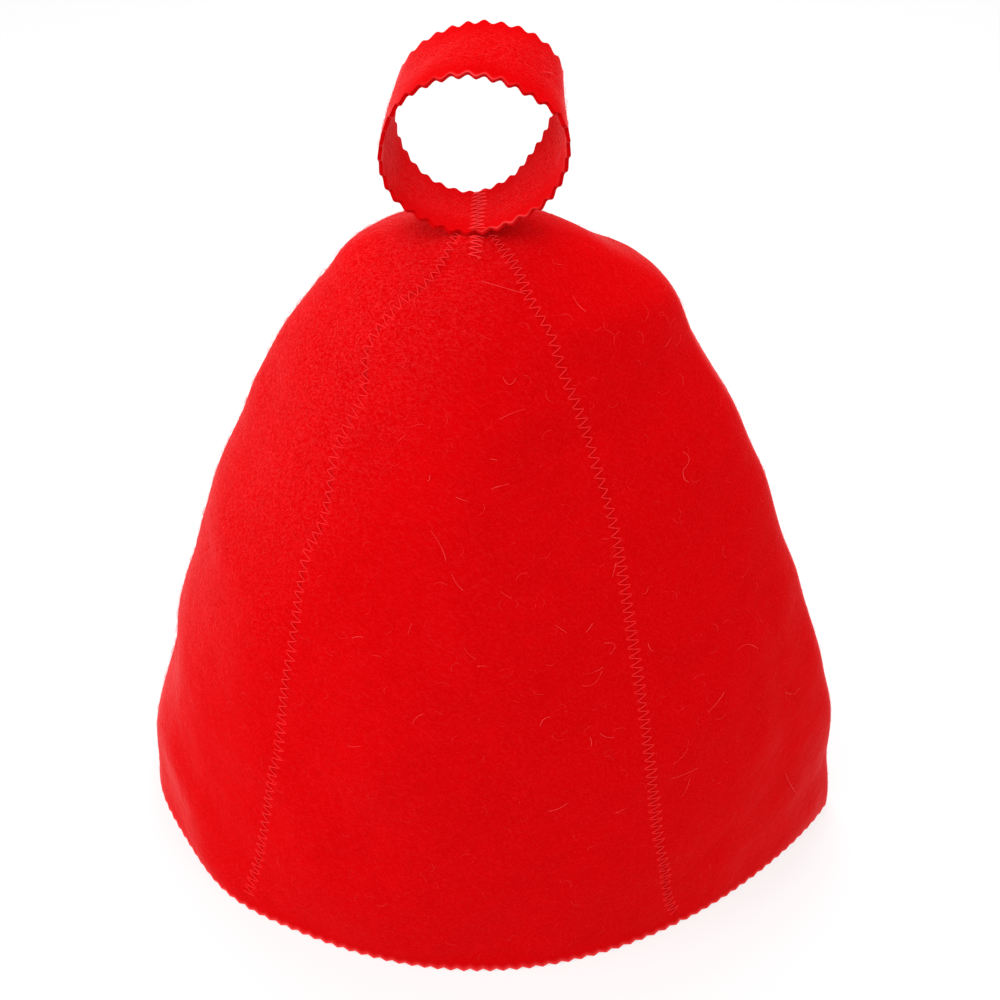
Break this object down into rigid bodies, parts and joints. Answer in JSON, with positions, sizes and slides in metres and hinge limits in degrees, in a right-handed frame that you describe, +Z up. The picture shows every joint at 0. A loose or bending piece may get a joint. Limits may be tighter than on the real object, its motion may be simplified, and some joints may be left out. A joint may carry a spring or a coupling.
{
  "type": "sauna hat",
  "caption": "Tall felt sauna hat sewn from gores edge to edge, with a pinked rim and a hanging loop on the crown.",
  "frame": {"origin": "on the floor that the rim stands on, under the middle of the hat", "axes": "+Z up from the rim to the hanging loop, -Y out of the front gore, +X to the wearer's left, towards the sharply folded side"},
  "size_m": [0.2855, 0.1889, 0.3309],
  "materials": {
    "felt": "matt wool felt with a short nap",
    "loop_felt": "matt wool felt strip with pinked edges"
  },
  "bodies": {
    "root": {"panel_front": "felt", "panel_right": "felt", "panel_back": "felt", "panel_left": "felt", "hanging_loop": "loop_felt"}
  },
  "joints": []
}
